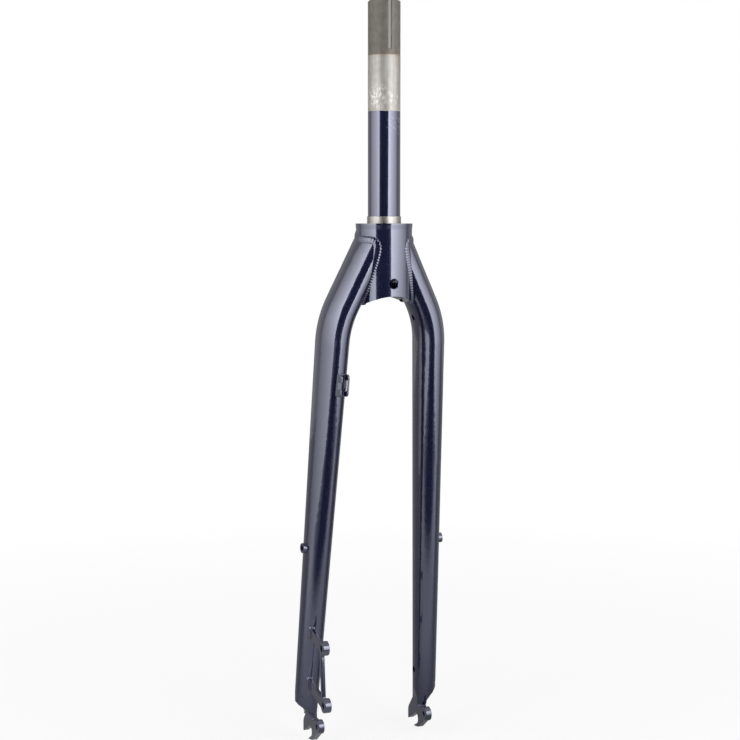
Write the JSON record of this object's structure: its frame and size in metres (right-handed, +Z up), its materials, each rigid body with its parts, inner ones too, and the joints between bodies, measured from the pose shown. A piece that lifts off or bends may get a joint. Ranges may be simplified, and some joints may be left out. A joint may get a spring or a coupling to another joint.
{
  "type": "bicycle fork",
  "caption": "Rigid bicycle fork: straight steerer in a round crown, oval blades splayed and raked to open slotted dropouts, disc brake bracket and hose guide on one blade.",
  "frame": {"origin": "on the steerer axis, on the shoulder at the top of the crown where the headset's lower race sits", "axes": "+Z up along the steerer, +Y forward the way the blades are raked, +X to the rider's right along the axle"},
  "size_m": [0.1394, 0.089, 0.6696],
  "materials": {
    "bare_steel": "bare turned steel",
    "navy_paint": "gloss dark blue metallic paint"
  },
  "bodies": {
    "root": {"steerer_tube": "bare_steel", "crown": "navy_paint", "right_blade": "navy_paint", "left_blade": "navy_paint", "right_crown_weld": "navy_paint", "left_crown_weld": "navy_paint", "right_dropout": "navy_paint", "left_dropout": "navy_paint", "right_dropout_weld": "navy_paint", "left_dropout_weld": "navy_paint", "right_blade_boss": "navy_paint", "left_blade_boss": "navy_paint", "disc_brake_mount": "navy_paint", "disc_mount_upper_weld": "navy_paint", "disc_mount_lower_weld": "navy_paint", "hose_guide": "navy_paint"}
  },
  "joints": []
}
